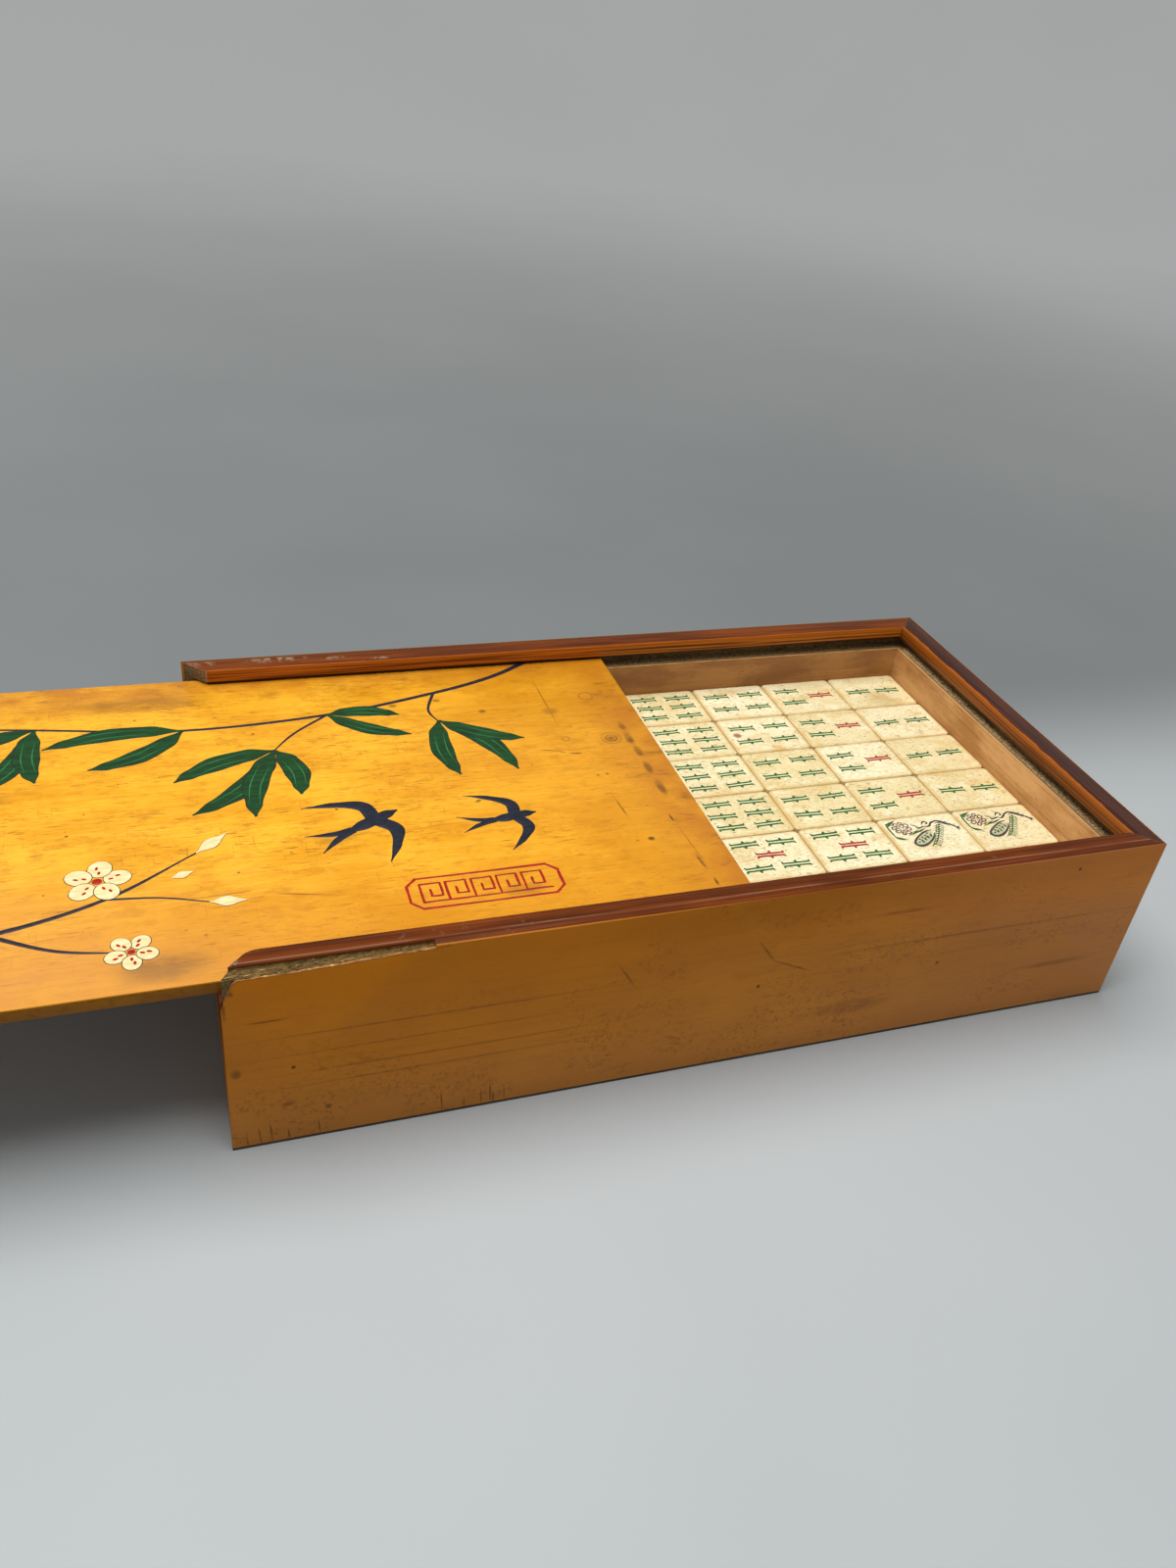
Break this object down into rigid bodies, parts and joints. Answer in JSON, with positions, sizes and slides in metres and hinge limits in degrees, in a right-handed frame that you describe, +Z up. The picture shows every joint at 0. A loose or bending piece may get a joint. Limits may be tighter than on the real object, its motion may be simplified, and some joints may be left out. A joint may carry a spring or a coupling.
{
  "type": "mahjong set",
  "caption": "Slide-top bamboo case holding bone-faced mahjong tiles in three layers, with a grooved lid that draws out and loose tiles that lift out.",
  "frame": {"origin": "middle of the case's underside", "axes": "+X along the case towards its closed end, opposite to the way the lid draws out; +Y to the case's back; +Z up"},
  "size_m": [0.4233, 0.158, 0.0643],
  "materials": {
    "lid_veneer": "satin",
    "case_veneer": "satin",
    "rim": "satin",
    "board": "matte",
    "liner": "matte",
    "bone": "satin",
    "tile_bamboo": "satin",
    "die_bone": "satin"
  },
  "bodies": {
    "case": {"base_panel": "liner", "front_wall": "board", "right_wall": "board", "back_wall": "board", "left_wall": "board", "front_liner": "liner", "right_liner": "liner", "back_liner": "liner", "left_liner": "liner", "front_veneer": "case_veneer", "right_veneer": "case_veneer", "back_veneer": "case_veneer", "left_veneer": "case_veneer", "front_rim": "rim", "right_rim": "rim", "back_rim": "rim", "stored_tile_faces": "bone", "stored_tile_backs": "tile_bamboo", "dice": "die_bone"},
    "lid": {"lid_panel": "liner", "lid_veneer": "lid_veneer", "lid_end_rail": "board", "lid_end_veneer": "case_veneer", "lid_end_rim": "rim"},
    "two_bamboo_1": {"two_bamboo_1_face": "bone", "two_bamboo_1_back": "tile_bamboo"},
    "two_bamboo_2": {"two_bamboo_2_face": "bone", "two_bamboo_2_back": "tile_bamboo"},
    "two_bamboo_3": {"two_bamboo_3_face": "bone", "two_bamboo_3_back": "tile_bamboo"},
    "two_bamboo_4": {"two_bamboo_4_face": "bone", "two_bamboo_4_back": "tile_bamboo"},
    "bird_1": {"bird_1_face": "bone", "bird_1_back": "tile_bamboo"},
    "bird_2": {"bird_2_face": "bone", "bird_2_back": "tile_bamboo"},
    "three_bamboo_1": {"three_bamboo_1_face": "bone", "three_bamboo_1_back": "tile_bamboo"},
    "three_bamboo_2": {"three_bamboo_2_face": "bone", "three_bamboo_2_back": "tile_bamboo"},
    "three_bamboo_3": {"three_bamboo_3_face": "bone", "three_bamboo_3_back": "tile_bamboo"},
    "three_bamboo_4": {"three_bamboo_4_face": "bone", "three_bamboo_4_back": "tile_bamboo"},
    "bird_3": {"bird_3_face": "bone", "bird_3_back": "tile_bamboo"},
    "bird_4": {"bird_4_face": "bone", "bird_4_back": "tile_bamboo"},
    "four_bamboo_1": {"four_bamboo_1_face": "bone", "four_bamboo_1_back": "tile_bamboo"},
    "four_bamboo_2": {"four_bamboo_2_face": "bone", "four_bamboo_2_back": "tile_bamboo"},
    "four_bamboo_3": {"four_bamboo_3_face": "bone", "four_bamboo_3_back": "tile_bamboo"},
    "four_bamboo_4": {"four_bamboo_4_face": "bone", "four_bamboo_4_back": "tile_bamboo"},
    "five_bamboo_1": {"five_bamboo_1_face": "bone", "five_bamboo_1_back": "tile_bamboo"},
    "five_bamboo_2": {"five_bamboo_2_face": "bone", "five_bamboo_2_back": "tile_bamboo"}
  },
  "joints": [
    {"name": "lid_slide", "type": "slide", "parent": "case", "child": "lid", "axis": [-1, 0, 0], "range_m": [-0.1345, 0.155]},
    {"name": "two_bamboo_1_lift", "type": "slide", "parent": "case", "child": "two_bamboo_1", "axis": [0, 0, 1], "range_m": [0, 0.045]},
    {"name": "two_bamboo_2_lift", "type": "slide", "parent": "case", "child": "two_bamboo_2", "axis": [0, 0, 1], "range_m": [0, 0.045]},
    {"name": "two_bamboo_3_lift", "type": "slide", "parent": "case", "child": "two_bamboo_3", "axis": [0, 0, 1], "range_m": [0, 0.045]},
    {"name": "two_bamboo_4_lift", "type": "slide", "parent": "case", "child": "two_bamboo_4", "axis": [0, 0, 1], "range_m": [0, 0.045]},
    {"name": "bird_1_lift", "type": "slide", "parent": "case", "child": "bird_1", "axis": [0, 0, 1], "range_m": [0, 0.045]},
    {"name": "bird_2_lift", "type": "slide", "parent": "case", "child": "bird_2", "axis": [0, 0, 1], "range_m": [0, 0.045]},
    {"name": "three_bamboo_1_lift", "type": "slide", "parent": "case", "child": "three_bamboo_1", "axis": [0, 0, 1], "range_m": [0, 0.045]},
    {"name": "three_bamboo_2_lift", "type": "slide", "parent": "case", "child": "three_bamboo_2", "axis": [0, 0, 1], "range_m": [0, 0.045]},
    {"name": "three_bamboo_3_lift", "type": "slide", "parent": "case", "child": "three_bamboo_3", "axis": [0, 0, 1], "range_m": [0, 0.045]},
    {"name": "three_bamboo_4_lift", "type": "slide", "parent": "case", "child": "three_bamboo_4", "axis": [0, 0, 1], "range_m": [0, 0.045]},
    {"name": "bird_3_lift", "type": "slide", "parent": "case", "child": "bird_3", "axis": [0, 0, 1], "range_m": [0, 0.045]},
    {"name": "bird_4_lift", "type": "slide", "parent": "case", "child": "bird_4", "axis": [0, 0, 1], "range_m": [0, 0.045]},
    {"name": "four_bamboo_1_lift", "type": "slide", "parent": "case", "child": "four_bamboo_1", "axis": [0, 0, 1], "range_m": [0, 0.045]},
    {"name": "four_bamboo_2_lift", "type": "slide", "parent": "case", "child": "four_bamboo_2", "axis": [0, 0, 1], "range_m": [0, 0.045]},
    {"name": "four_bamboo_3_lift", "type": "slide", "parent": "case", "child": "four_bamboo_3", "axis": [0, 0, 1], "range_m": [0, 0.045]},
    {"name": "four_bamboo_4_lift", "type": "slide", "parent": "case", "child": "four_bamboo_4", "axis": [0, 0, 1], "range_m": [0, 0.045]},
    {"name": "five_bamboo_1_lift", "type": "slide", "parent": "case", "child": "five_bamboo_1", "axis": [0, 0, 1], "range_m": [0, 0.045]},
    {"name": "five_bamboo_2_lift", "type": "slide", "parent": "case", "child": "five_bamboo_2", "axis": [0, 0, 1], "range_m": [0, 0.045]}
  ]
}
